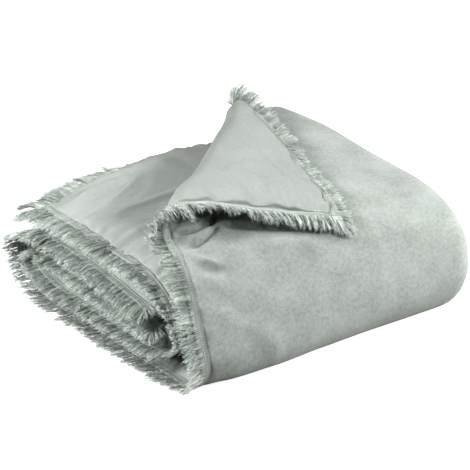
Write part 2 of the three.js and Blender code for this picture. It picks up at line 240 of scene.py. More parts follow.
def inFrame(points):
    # millimetres of the fold tables to metres of the frame
    moved = points - np.array([quilt["middleX"], quilt["middleY"], 0.0])
    moved[..., 2] = np.maximum(moved[..., 2], quilt["lowest"])
    return moved / 1000


def hashNoise(i, j, seed):
    # the same number from -1 to 1 for the same two whole numbers and seed
    n = (i.astype(np.int64) * 374761393 + j.astype(np.int64) * 668265263 + seed * 974711) & 0x7FFFFFFF
    n = ((n ^ (n >> 13)) * 1274126177) & 0x7FFFFFFF
    return ((n ^ (n >> 16)) & 0xFFFF) / 32767.5 - 1


def cloud(x, y, seed):
    # smooth noise from -1 to 1
    x, y = np.broadcast_arrays(np.asarray(x, float), np.asarray(y, float))
    i, j = np.floor(x).astype(np.int64), np.floor(y).astype(np.int64)
    fx, fy = ease(x - i), ease(y - j)
    low = hashNoise(i, j, seed) * (1 - fx) + hashNoise(i + 1, j, seed) * fx
    high = hashNoise(i, j + 1, seed) * (1 - fx) + hashNoise(i + 1, j + 1, seed) * fx
    return low * (1 - fy) + high * fy


# materials
def addNode(tree, kind, place=(0, 0), **values):
    node = tree.nodes.new(kind)
    node.location = place
    for name, value in values.items():
        if name in node.inputs.keys():
            node.inputs[name].default_value = value
        else:
            setattr(node, name, value)
    return node


def makeGroup(name, inputs, outputs):
    group = bpy.data.node_groups.new(name, "ShaderNodeTree")
    for label, kind, value in inputs:
        socket = group.interface.new_socket(name=label, in_out="INPUT", socket_type=kind)
        if value is not None:
            socket.default_value = value
    for label, kind in outputs:
        group.interface.new_socket(name=label, in_out="OUTPUT", socket_type=kind)
    return group, group.nodes.new("NodeGroupInput"), group.nodes.new("NodeGroupOutput")


mottleShare = {"clouds": 0.32, "blotches": 0.38, "nap": 0.30}
slubSize = (700, 40)      # slubs per metre across and along their thread


def mottleGroup():
    # cloudy tone, blotches and fine nap in one mask
    group, given, result = makeGroup(
        "mottle",
        [("Vector", "NodeSocketVector", None), ("Cloud Scale", "NodeSocketFloat", 14.0),
         ("Blotch Scale", "NodeSocketFloat", 130.0), ("Nap Scale", "NodeSocketFloat", 420.0)],
        [("Tone", "NodeSocketFloat")])
    clouds = addNode(group, "ShaderNodeTexNoise", (-400, 200), Detail=3.0, Roughness=0.55)
    blotches = addNode(group, "ShaderNodeTexNoise", (-400, 0), Detail=5.0, Roughness=0.7)
    nap = addNode(group, "ShaderNodeTexNoise", (-400, -200), Detail=3.0, Roughness=0.7)
    for node, label in ((clouds, "Cloud Scale"), (blotches, "Blotch Scale"), (nap, "Nap Scale")):
        group.links.new(given.outputs["Vector"], node.inputs["Vector"])
        group.links.new(given.outputs[label], node.inputs["Scale"])
    napPart = addNode(group, "ShaderNodeMath", (-200, -120), operation="MULTIPLY")
    napPart.inputs[1].default_value = mottleShare["nap"]
    withBlotches = addNode(group, "ShaderNodeMath", (-50, 0), operation="MULTIPLY_ADD")
    withBlotches.inputs[1].default_value = mottleShare["blotches"]
    withClouds = addNode(group, "ShaderNodeMath", (100, 120), operation="MULTIPLY_ADD")
    withClouds.inputs[1].default_value = mottleShare["clouds"]
    group.links.new(nap.outputs["Fac"], napPart.inputs[0])
    group.links.new(blotches.outputs["Fac"], withBlotches.inputs[0])
    group.links.new(napPart.outputs[0], withBlotches.inputs[2])
    group.links.new(clouds.outputs["Fac"], withClouds.inputs[0])
    group.links.new(withBlotches.outputs[0], withClouds.inputs[2])
    group.links.new(withClouds.outputs[0], result.inputs["Tone"])
    return group


def weaveGroup():
    # crossing threads with slubs, read from the flat cloth
    group, given, result = makeGroup(
        "weave",
        [("Vector", "NodeSocketVector", None), ("Threads", "NodeSocketFloat", 900.0),
         ("Slub", "NodeSocketFloat", 0.5)],
        [("Height", "NodeSocketFloat")])
    sums = []
    for k, axis in enumerate(("X", "Y")):
        wave = addNode(group, "ShaderNodeTexWave", (-400, 200 - 300 * k), Distortion=1.2, Detail=1.0,
                       bands_direction=axis)
        wave.inputs["Detail Scale"].default_value = 0.6
        group.links.new(given.outputs["Vector"], wave.inputs["Vector"])
        group.links.new(given.outputs["Threads"], wave.inputs["Scale"])
        slub = addNode(group, "ShaderNodeMapping", (-650, -500 - 200 * k))
        slub.inputs["Scale"].default_value = (*(slubSize[::-1] if k else slubSize), 1)
        noise = addNode(group, "ShaderNodeTexNoise", (-400, -500 - 200 * k), Scale=1.0, Detail=1.0)
        group.links.new(given.outputs["Vector"], slub.inputs["Vector"])
        group.links.new(slub.outputs[0], noise.inputs["Vector"])
        sums.append((wave, noise))
    threads = addNode(group, "ShaderNodeMath", (-100, 100), operation="MAXIMUM")
    group.links.new(sums[0][0].outputs["Fac"], threads.inputs[0])
    group.links.new(sums[1][0].outputs["Fac"], threads.inputs[1])
    slubs = addNode(group, "ShaderNodeMath", (-100, -400), operation="ADD")
    group.links.new(sums[0][1].outputs["Fac"], slubs.inputs[0])
    group.links.new(sums[1][1].outputs["Fac"], slubs.inputs[1])
    both = addNode(group, "ShaderNodeMath", (100, 0), operation="MULTIPLY_ADD")
    group.links.new(slubs.outputs[0], both.inputs[0])
    group.links.new(given.outputs["Slub"], both.inputs[1])
    group.links.new(threads.outputs[0], both.inputs[2])
    group.links.new(both.outputs[0], result.inputs["Height"])
    return group


def startMaterial(name, values):
    material = bpy.data.materials.new(name)
    material.use_nodes = True
    tree = material.node_tree
    shader = tree.nodes["Principled BSDF"]
    shader.inputs["Roughness"].default_value = values["roughness"]
    shader.inputs["Sheen Weight"].default_value = values["sheen"]
    shader.inputs["Sheen Roughness"].default_value = values["sheenRoughness"]
    shader.inputs["Specular IOR Level"].default_value = values["specular"]
    return material, tree, shader


def toneRamp(tree, values, shift=0.0):
    # dark to light over the part of the mask between low and high
    low, high = values["low"] - shift, values["high"] - shift
    ramp = addNode(tree, "ShaderNodeValToRGB", (-400, 300))
    stops = ramp.color_ramp.elements
    stops[0].position, stops[0].color = low, (*values["dark"], 1)
    stops[1].position, stops[1].color = high, (*values["light"], 1)
    stops.new((low + high) / 2).color = (*values["middle"], 1)
    return ramp


def bumpFrom(tree, height, shader, values):
    bump = addNode(tree, "ShaderNodeBump", (-250, -250), Strength=values["bump"])
    bump.inputs["Distance"].default_value = values["bumpDepth"]
    tree.links.new(height, bump.inputs["Height"])
    tree.links.new(bump.outputs[0], shader.inputs["Normal"])


velvet = {
    "roughness": 0.9, "sheen": 0.25, "sheenRoughness": 0.4, "specular": 0.2,
    "dark": (0.255, 0.277, 0.257), "middle": (0.352, 0.376, 0.354), "light": (0.440, 0.465, 0.442),
    "low": 0.36, "high": 0.64, "bump": 0.5, "bumpDepth": 0.0016,
    # colour and strength of the lines under the stitching
    "stitched": (0.46, 0.485, 0.462), "pressed": 0.55,
}
cotton = {
    "roughness": 0.8, "sheen": 0.08, "sheenRoughness": 0.5, "specular": 0.25,
    "dark": (0.330, 0.350, 0.331), "middle": (0.372, 0.393, 0.373), "light": (0.418, 0.440, 0.419),
    "low": 0.36, "high": 0.64, "bump": 0.25, "bumpDepth": 0.0007,
    "clouds": 5.0, "blotches": 90.0, "threads": 850.0, "slub": 0.5,
}
threads = {
    "roughness": 0.9, "sheen": 0.1, "sheenRoughness": 0.5, "specular": 0.15,
    "dark": (0.25, 0.279, 0.254), "middle": (0.66, 0.706, 0.667), "light": (0.80, 0.845, 0.807),
    # the stitches are paler than the fray
    "low": 0.1, "high": 0.9, "stitchShift": 0.25,
}
mottle, weave = mottleGroup(), weaveGroup()
seamFade = 1.5      # a line fades out between half and one and a half times its half width


def seamGroup():
    # thin lines at set distances from the edge of the flat cloth, as a mask
    group, given, result = makeGroup(
        "seamLines",
        [("Vector", "NodeSocketVector", None), ("Width", "NodeSocketFloat", quilt["width"] / 1000),
         ("Length", "NodeSocketFloat", length / 1000), ("First", "NodeSocketFloat", 0.0215),
         ("Second", "NodeSocketFloat", 0.014), ("Half Line", "NodeSocketFloat", 0.0009)],
        [("Mask", "NodeSocketFloat")])

    def math2(operation, a, b, place):
        node = addNode(group, "ShaderNodeMath", place, operation=operation)
        for k, value in enumerate((a, b)):
            if isinstance(value, (int, float)):
                node.inputs[k].default_value = value
            elif value is not None:
                group.links.new(value, node.inputs[k])
        return node.outputs[0]

    split = addNode(group, "ShaderNodeSeparateXYZ", (-900, 0))
    group.links.new(given.outputs["Vector"], split.inputs[0])
    nearest = []
    for k, side in enumerate(("Width", "Length")):
        far = math2("SUBTRACT", given.outputs[side], split.outputs[k], (-700, -200 * k))
        nearest.append(math2("MINIMUM", far, split.outputs[k], (-520, -200 * k)))
    edge = math2("MINIMUM", nearest[0], nearest[1], (-340, 0))
    lines = []
    for k, name in enumerate(("First", "Second")):
        signed = math2("SUBTRACT", edge, given.outputs[name], (-160, -200 * k))
        away = math2("ABSOLUTE", signed, None, (0, -200 * k))
        inside = math2("DIVIDE", away, given.outputs["Half Line"], (160, -200 * k))
        lines.append(math2("SUBTRACT", seamFade, inside, (320, -200 * k)))
    mask = math2("MAXIMUM", lines[0], lines[1], (480, 0))
    clamped = addNode(group, "ShaderNodeClamp", (640, 0))
    group.links.new(mask, clamped.inputs[0])
    group.links.new(clamped.outputs[0], result.inputs["Mask"])
    return group


seamLines = seamGroup()


def velvetMaterial():
    material, tree, shader = startMaterial("velvetFace", velvet)
    place = addNode(tree, "ShaderNodeUVMap", (-1100, 0), uv_map="flatCloth")
    tone = addNode(tree, "ShaderNodeGroup", (-800, 200), node_tree=mottle)
    seams = addNode(tree, "ShaderNodeGroup", (-800, -200), node_tree=seamLines)
    for node in (tone, seams):
        tree.links.new(place.outputs[0], node.inputs["Vector"])
    ramp = toneRamp(tree, velvet)
    tree.links.new(tone.outputs["Tone"], ramp.inputs[0])
    # the pile is pressed flat and paler under the stitching
    share = addNode(tree, "ShaderNodeMath", (-400, -150), operation="MULTIPLY")
    share.inputs[1].default_value = velvet["pressed"]
    tree.links.new(seams.outputs["Mask"], share.inputs[0])
    pale = addNode(tree, "ShaderNodeMix", (-100, 200), data_type="RGBA")
    pale.inputs[7].default_value = (*velvet["stitched"], 1)
    tree.links.new(share.outputs[0], pale.inputs[0])
    tree.links.new(ramp.outputs[0], pale.inputs[6])
    tree.links.new(pale.outputs[2], shader.inputs["Base Color"])
    dents = addNode(tree, "ShaderNodeMath", (-400, -350), operation="SUBTRACT")
    tree.links.new(tone.outputs["Tone"], dents.inputs[0])
    tree.links.new(share.outputs[0], dents.inputs[1])
    bumpFrom(tree, dents.outputs[0], shader, velvet)
    return material


def cottonMaterial():
    material, tree, shader = startMaterial("cottonBack", cotton)
    place = addNode(tree, "ShaderNodeUVMap", (-1100, 0), uv_map="flatCloth")
    tone = addNode(tree, "ShaderNodeGroup", (-800, 200), node_tree=mottle)
    tone.inputs["Cloud Scale"].default_value = cotton["clouds"]
    tone.inputs["Blotch Scale"].default_value = cotton["blotches"]
    cloth = addNode(tree, "ShaderNodeGroup", (-800, -100), node_tree=weave)
    cloth.inputs["Threads"].default_value = cotton["threads"]
    cloth.inputs["Slub"].default_value = cotton["slub"]
    for node in (tone, cloth):
        tree.links.new(place.outputs[0], node.inputs["Vector"])
    ramp = toneRamp(tree, cotton)
    tree.links.new(tone.outputs["Tone"], ramp.inputs[0])
    tree.links.new(ramp.outputs[0], shader.inputs["Base Color"])
    bumpFrom(tree, cloth.outputs["Height"], shader, cotton)
    return material


def threadMaterial(name, shift=0.0):
    material, tree, shader = startMaterial(name, threads)
    # the tone attribute holds each thread's own tone, and on the fray also painted shade toward the root
    tone = addNode(tree, "ShaderNodeAttribute", (-800, 0), attribute_name="tone")
    ramp = toneRamp(tree, threads, shift)
    tree.links.new(tone.outputs["Fac"], ramp.inputs[0])
    tree.links.new(ramp.outputs[0], shader.inputs["Base Color"])
    return material


velvetFinish, cottonFinish = velvetMaterial(), cottonMaterial()
frayFinish = threadMaterial("frayedThread")
stitchFinish = threadMaterial("stitchThread", threads["stitchShift"])
print("materials made")

# the filled quilt
body = {
    # mesh lines in from every edge, then from, to and how far apart between them
    "edgeLines": (0, 4, 8, 12, 15, 17.5, 19.5, 21, 22, 23, 24.5, 26.5, 29, 32, 36, 40, 45, 50, 55, 60, 66, 72,
                  78, 84, 90, 97, 104),
    "acrossSpacing": ((109, 175, 4.2), (175, 380, 8.5), (380, 1160, 11.0), (1160, 1287, 6.4)),
    "alongSpacing": ((113, 260, 5.2), (260, 440, 8.0), (440, 605, 3.6), (605, 1e9, 11.6)),
    "lastGap": 9.0,
    # seam of the hem: the filling leans over a groove on the cotton side, deeper behind the shoulder
    "seamGroove": 1.6, "grooveWide": 2.0, "grooveOut": 0.5,
    "seamLean": 6.0, "leanAt": 5.0, "leanWide": 5.0, "leanSteady": 0.8, "leanVaries": 0.5, "leanLength": 19.0,
    "deeper": 1.1, "deeperAt": 330.0, "deeperLong": 110.0,
    # short and long gathers that run in from the seam
    "velvetPucker": 0.6, "cottonPucker": 2.6, "puckerLength": 12.0, "puckerReach": 30.0, "puckerIn": 60.0,
    "velvetGather": 1.0, "cottonGather": 5.5, "gatherLength": 21.0, "gatherReach": 48.0, "gatherIn": 120.0,
    "gatherOut": 4.0, "gatherStart": 10.0,
    "shoulderGather": 0.7, "shoulderAt": 350.0, "shoulderLong": 130.0, "shoulderWide": 400.0,
    # soft hollows of the filling, the small ones of another size on each face
    "soft": 1.26, "softSize": 95.0, "velvetFine": 41.0, "cottonFine": 38.0, "fineSoft": 0.5,
    "fillReach": 40.0,
    "hemWave": 1.2, "hemWaveLength": 33.0,
    "creaseOnHem": 0.2, "creaseTaper": 4.0, "creaseEnd": 0.15,
}
# creases: points in s and t, half width, height outwards (below 0 is a trough), face
creases = [
    ([(8, 498), (30, 500), (58, 504), (92, 500), (120, 486), (160, 460)], 5.5, -20.0, "velvet"),
    ([(22, 519), (55, 521), (85, 514), (112, 499)], 8, 7.0, "velvet"),
    ([(24, 538), (55, 539), (80, 529), (105, 513), (130, 496)], 5.5, -10.0, "velvet"),
    ([(20, 480), (60, 476), (100, 462), (140, 436)], 13, 4.0, "velvet"),
    ([(2, 516), (14, 534), (34, 556), (55, 572), (82, 586)], 4.5, 9.0, "velvet"),
    ([(8, 548), (34, 574), (62, 592), (100, 602)], 9, -6.5, "velvet"),
    ([(0, 574), (60, 636), (130, 700)], 16, -5.0, "velvet"),
    ([(50, 660), (120, 700), (190, 780)], 20, 4.0, "velvet"),
    ([(120, 484), (150, 506), (190, 520), (240, 530), (300, 548), (370, 562)], 14, -10.0, "velvet"),
    ([(140, 548), (200, 562), (260, 574), (330, 590)], 18, 5.0, "velvet"),
    ([(1358, 36), (1300, 54), (1236, 62), (1152, 76), (1090, 84)], 6, 8.5, "cotton"),
    ([(1345, 81), (1271, 86), (1205, 94)], 6, 7.0, "cotton"),
    ([(1325, 118), (1271, 112), (1215, 112)], 8, -4.0, "cotton"),
    ([(1320, 166), (1280, 150), (1230, 126), (1177, 95)], 8, 5.5, "cotton"),
    ([(1320, 190), (1250, 172), (1190, 140)], 12, -2.5, "cotton"),
    ([(1330, 214), (1250, 211), (1172, 204), (1120, 200)], 9, 5.0, "cotton"),
    ([(1340, 250), (1270, 250), (1200, 244)], 13, -2.5, "cotton"),
    ([(1352, 330), (1290, 318), (1230, 322)], 10, 5.5, "cotton"),
    ([(520, 60), (440, 90), (330, 160)], 18, -4.0, "cotton"),
    ([(200, 130), (170, 200), (120, 260)], 20, 4.0, "cotton"),
    ([(60, 60), (140, 90), (260, 96)], 11, -3.5, "cotton"),
    ([(30, 180), (90, 160), (150, 168)], 9, -3.5, "cotton"),
]


def spacedLines(total, spacing):
    # places of the mesh lines over one side of the flat cloth
    edge = np.array(body["edgeLines"], float)
    lines = [edge]
    for start, stop, apart in spacing:
        stop = min(stop, total - edge[-1] - body["lastGap"])
        lines.append(np.linspace(start, stop, int(round((stop - start) / apart)), endpoint=False))
    return np.concatenate(lines + [[total - edge[-1] - body["lastGap"]], (total - edge)[::-1]])


def creaseAt(s, t, face):
    # height of all creases of one face, each fading out at its ends
    rise = np.zeros(s.shape)
    for points, wide, height, side in creases:
        if side != face:
            continue
        span = sum(math.dist(a, b) for a, b in zip(points, points[1:]))
        nearest, along, walkedSoFar = np.full(s.shape, 1e9), np.zeros(s.shape), 0.0
        for (fromS, fromT), (toS, toT) in zip(points, points[1:]):
            runS, runT = toS - fromS, toT - fromT
            part = math.hypot(runS, runT)
            k = np.clip(((s - fromS) * runS + (t - fromT) * runT) / part ** 2, 0, 1)
            away = np.hypot(s - fromS - k * runS, t - fromT - k * runT)
            along = np.where(away < nearest, (walkedSoFar + k * part) / span, along)
            nearest = np.minimum(nearest, away)
            walkedSoFar += part
        ends = ease(np.minimum(along, 1 - along) * body["creaseTaper"] + body["creaseEnd"])
        rise += height * ends * np.exp(-(nearest / wide) ** 2)
    return rise


def seamPuckers(s, t, seed, small, large):
    # gathers that run in from the stitched hem, on all four sides, strongest behind the shoulder
    total = np.zeros(s.shape)
    behindShoulder = np.exp(-((t - body["shoulderAt"]) / body["shoulderLong"]) ** 2)
    strong = 1 + body["shoulderGather"] * behindShoulder * ease((s - leaf) / body["shoulderWide"])
    for fromEdge, along, shift in ((s, t, 0), (quilt["width"] - s, t, 40), (t, s, 80), (length - t, s, 120)):
        past = fromEdge - quilt["hem"]
        near = ease((past + body["gatherOut"]) / body["gatherStart"])
        fine = cloud(along / body["puckerLength"] + shift, past / body["puckerIn"], seed + shift)
        wide = cloud(along / body["gatherLength"] + shift, past / body["gatherIn"], seed + shift + 7)
        fade = np.maximum(past, 0)
        total += near * fine * small * strong * np.exp(-fade / body["puckerReach"])
        total += near * wide * large * strong * np.exp(-fade / body["gatherReach"])
    return total


def hemWaves(s, t):
    return body["hemWave"] * cloud(s / body["hemWaveLength"] + 9, t / body["hemWaveLength"], 21)


def softHollows(s, t, fine, seed):
    large = cloud(s / body["softSize"], t / body["softSize"], seed)
    return large + body["fineSoft"] * cloud(s / fine, t / fine, seed + 1)


def sewFaces(across, along):
    # the cotton face at z 1 and the velvet face at z -1 over the flat cloth, joined round their edge
    bm = bmesh.new()
    bmesh.ops.create_grid(bm, x_segments=len(across) - 1, y_segments=len(along) - 1, size=1)
    for v in bm.verts:
        i = round((v.co.x + 1) / 2 * (len(across) - 1))
        j = round((v.co.y + 1) / 2 * (len(along) - 1))
        v.co = (across[i], along[j], 1)
    for face in bm.faces:
        face.material_index = 1
    made = bmesh.ops.duplicate(bm, geom=bm.verts[:] + bm.edges[:] + bm.faces[:])["geom"]
    velvetFaces = [g for g in made if isinstance(g, bmesh.types.BMFace)]
    for g in made:
        if isinstance(g, bmesh.types.BMVert):
            g.co.z = -1
    bmesh.ops.reverse_faces(bm, faces=velvetFaces)
    for face in velvetFaces:
        face.material_index = 0
    bmesh.ops.bridge_loops(bm, edges=[e for e in bm.edges if e.is_boundary])
    layer = bm.loops.layers.uv.new("flatCloth")
    for face in bm.faces:
        face.smooth = True
        for loop in face.loops:
            loop[layer].uv = (loop.vert.co.x / 1000, loop.vert.co.y / 1000)
    mesh = bpy.data.meshes.new("eiderdownBody")
    bm.to_mesh(mesh)
    bm.free()
    return mesh


def makeBody():
    across = spacedLines(quilt["width"], body["acrossSpacing"])
    along = spacedLines(length, body["alongSpacing"])
    mesh = sewFaces(across, along)
    flat = np.zeros(len(mesh.vertices) * 3, np.float32)
    mesh.vertices.foreach_get("co", flat)
    flat = flat.reshape(-1, 3).astype(float)
    s, t, side = flat[:, 0], flat[:, 1], -flat[:, 2]
    velvetSide = side > 0
    fromSides = np.stack([s, quilt["width"] - s, t, length - t])
    fromEdge = fromSides.min(0)
    pastHem = fromEdge - quilt["hem"]
    filled = ease(pastHem / body["fillReach"])
    outward = halfAt(s, t) + np.where(
        velvetSide,
        seamPuckers(s, t, 11, body["velvetPucker"], body["velvetGather"]),
        seamPuckers(s, t, 53, body["cottonPucker"], body["cottonGather"]))
    outward += filled * body["soft"] * np.where(
        velvetSide, softHollows(s, t, body["velvetFine"], 5), softHollows(s, t, body["cottonFine"], 15))
    outward += np.clip(filled + body["creaseOnHem"], 0, 1) * np.where(
        velvetSide, creaseAt(s, t, "velvet"), creaseAt(s, t, "cotton"))
    # the filling swells over the seam of the flat hem, on the cotton side
    deeper = body["deeper"] * np.exp(-((t - body["deeperAt"]) / body["deeperLong"]) ** 2) * (s > leaf)
    share = np.where(velvetSide, 0.0, 1.0 + deeper)
    outward -= share * body["seamGroove"] * np.exp(-((pastHem + body["grooveOut"]) / body["grooveWide"]) ** 2)
    lean = share * body["seamLean"] * np.exp(-((pastHem - body["leanAt"]) / body["leanWide"]) ** 2)
    leanNoise = cloud(s / body["leanLength"] + 3, t / body["leanLength"], 31)
    lean *= body["leanSteady"] + body["leanVaries"] * leanNoise
    which = fromSides.argmin(0)
    shiftS = np.where(which == 0, -lean, np.where(which == 1, lean, 0))
    shiftT = np.where(which == 2, -lean, np.where(which == 3, lean, 0))
    waves = (1 - filled) * hemWaves(s, t)
    shared = swellAt(s, t) + waves
    normal = facing(clothAt, s, t)
    place = clothAt(s + shiftS, t + shiftT) + normal * (outward * side + shared)[:, None]
    mesh.vertices.foreach_set("co", inFrame(place).astype(np.float32).ravel())
    mesh.materials.append(velvetFinish)
    mesh.materials.append(cottonFinish)
    mesh.update()
    piece = bpy.data.objects.new("eiderdownBody", mesh)
    bpy.context.scene.collection.objects.link(piece)
    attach(piece, "root")
    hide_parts("quiltBody")


makeBody()
print("filled quilt made")


# repeated small shapes
def repeatShape(bm, count):
    # count copies of one shape, one after the other
    single = bpy.data.meshes.new("single")
    bm.to_mesh(single)
    bm.clear()
    for k in range(count):
        bm.from_mesh(single)
    bpy.data.meshes.remove(single)


def finishRepeated(bm, count, name, finish, placeOf):
    # placeOf gives every vertex its place and tone from its shape's own place and its number
    mesh = bpy.data.meshes.new(name)
    bm.to_mesh(mesh)
    bm.free()
    local = np.zeros(len(mesh.vertices) * 3, np.float32)
    mesh.vertices.foreach_get("co", local)
    item = np.arange(len(mesh.vertices)) // (len(mesh.vertices) // count)
    place, tone = placeOf(local.reshape(-1, 3).astype(float), item)
    mesh.vertices.foreach_set("co", inFrame(place).astype(np.float32).ravel())
    mesh.attributes.new("tone", "FLOAT", "POINT").data.foreach_set("value", tone.astype(np.float32))
    mesh.polygons.foreach_set("use_smooth", [True] * len(mesh.polygons))
    mesh.materials.append(finish)
    mesh.update()
    piece = bpy.data.objects.new(name, mesh)
    bpy.context.scene.collection.objects.link(piece)
    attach(piece, "root")
    return piece


def edgePoint(side, along, beyond):
    # point of the flat cloth by its place along one edge and how far it lies outside it
    if side == "sideOuter":
        return -beyond, along
    if side == "sideInner":
        return quilt["width"] + beyond, along
    if side == "back":
        return along, -beyond
    return along, length + beyond


# frayed fringe
fray = {
    "spacing": 0.6, "rings": 8, "root": 0.55, "tip": 0.36, "start": -9.0, "bed": 2.6,
    "tuft": 6.0, "gatherToTuft": 0.16, "lengthSpread": 0.1, "shortest": 0.74, "lengthRange": 0.31,
    "lean": 4.0, "lift": 6.0, "tuftPart": 0.5, "threadPart": 0.35,       # shares of a tuft and of one thread
    "crinkle": 0.35, "tuftCrinkle": 0.45, "curl": 2.6, "tuftCurl": 1.4,
    # painted shade: each thread is darkened toward its root, where the fray shades itself
    "tone": 0.55, "toneSpread": 0.2, "tuftTone": 0.1, "paintedRootShade": 0.24,
    # slow changes along the edge, and places worn short
    "sweep": 9.0, "sweepLong": 52.0, "swellUp": 7.0, "swellLong": 78.0,
    "worn": 0.45, "wornLong": 34.0, "wornFrom": 0.45, "wornStep": 0.3,
    # at a corner of the quilt
    "fan": 22.0, "fanWide": 40.0, "fanBend": 1.3, "closer": 1.45,
}
topEnds, frontEnds, bottomEnds, turnEnds = (lengthAt(k) for k in (3, 8, 12, 15))
rollFrom = quilt["foldSide"] - math.pi * quilt["rollSide"] / acrossT - 1
backRollFrom = quilt["foldBack"] - math.pi * quilt["rollBack"] / acrossS - 1
# strips of the fringe, as in the solids: name, side, from and to along the edge
strips = [
    ("CornerSide", "sideOuter", 0, rollFrom),
    ("OuterRoll", "sideOuter", rollFrom, quilt["foldSide"] + 31),
    ("OuterFront", "sideOuter", quilt["foldSide"] + 31, frontEnds + 1),
    ("OuterBottom", "sideOuter", frontEnds + 1, bottomEnds + 1),
    ("OuterTurn", "sideOuter", bottomEnds + 1, turnEnds + 1),
    ("OuterMiddle", "sideOuter", turnEnds + 1, length),
    ("InnerTop", "sideInner", 0, topEnds + 1),
    ("InnerFront", "sideInner", topEnds + 1, frontEnds + 1),
    ("InnerBottom", "sideInner", frontEnds + 1, bottomEnds + 1),
    ("InnerTurn", "sideInner", bottomEnds + 1, turnEnds + 1),
    ("InnerMiddle", "sideInner", turnEnds + 1, length),
    ("CornerBack", "back", 0, backRollFrom),
    ("BackRoll", "back", backRollFrom, leaf - 51),
    ("BackDoubled", "back", leaf - 51, leaf + 61),
    ("BackInner", "back", leaf + 61, quilt["width"]),
    ("EndOuter", "end", 0, leaf - 50),
    ("EndInner", "end", leaf + 50, quilt["width"]),
]
# by strip: stops along the edge, the length of the fray there, and the rise of its tips on the velvet side
frayShape = {
    "CornerSide": ([0, 40, 250, 330, 404], [36, 27, 24, 18, 30], [0, -10, -14, -18, -24]),
    "OuterRoll": ([404, 450, 500, 552], [36, 40, 44, 44], [-24, -28, -18, 4]),
    "OuterFront": ([552, 740, 809], [44, 42, 30], [8, 14, 2]),
    "OuterBottom": ([809, 860, 1300, 1406], [32, 44, 46, 46], [0, 0, 0, 0]),
    "OuterTurn": ([1406, 1530, 1652], [44, 46, 44], [0, 2, 0]),
    "OuterMiddle": ([1652, 2000], [46, 44], [0, 0]),
    "InnerTop": ([0, 60, 250, 470], [72, 52, 46, 42], [0, 0, 0, 0]),
    "InnerFront": ([466, 560, 640, 760, 812], [40, 26, 15, 14, 26], [0, 0, 0, 0, 0]),
    "CornerBack": ([0, 40, 400], [38, 29, 28], [0, -5, -5]),
    "BackRoll": ([400, 480, 560, 650], [29, 34, 35, 28], [-14, -22, -21, -10]),
    "BackInner": ([760, 1120, 1230, 1400], [26, 26, 52, 70], [14, 14, -8, -8]),
}
# the inner leaf's hem is hidden under its fray, which starts farther in
frayStart = {"InnerTop": -19.0}
fraySpacing = {"InnerTop": 0.5, "OuterMiddle": 0.5, "OuterTurn": 0.45, "OuterFront": 0.42, "OuterRoll": 0.42,
               "BackInner": 0.42, "EndOuter": 1.1, "EndInner": 1.1, "BackDoubled": 0.9, "InnerBottom": 0.7}


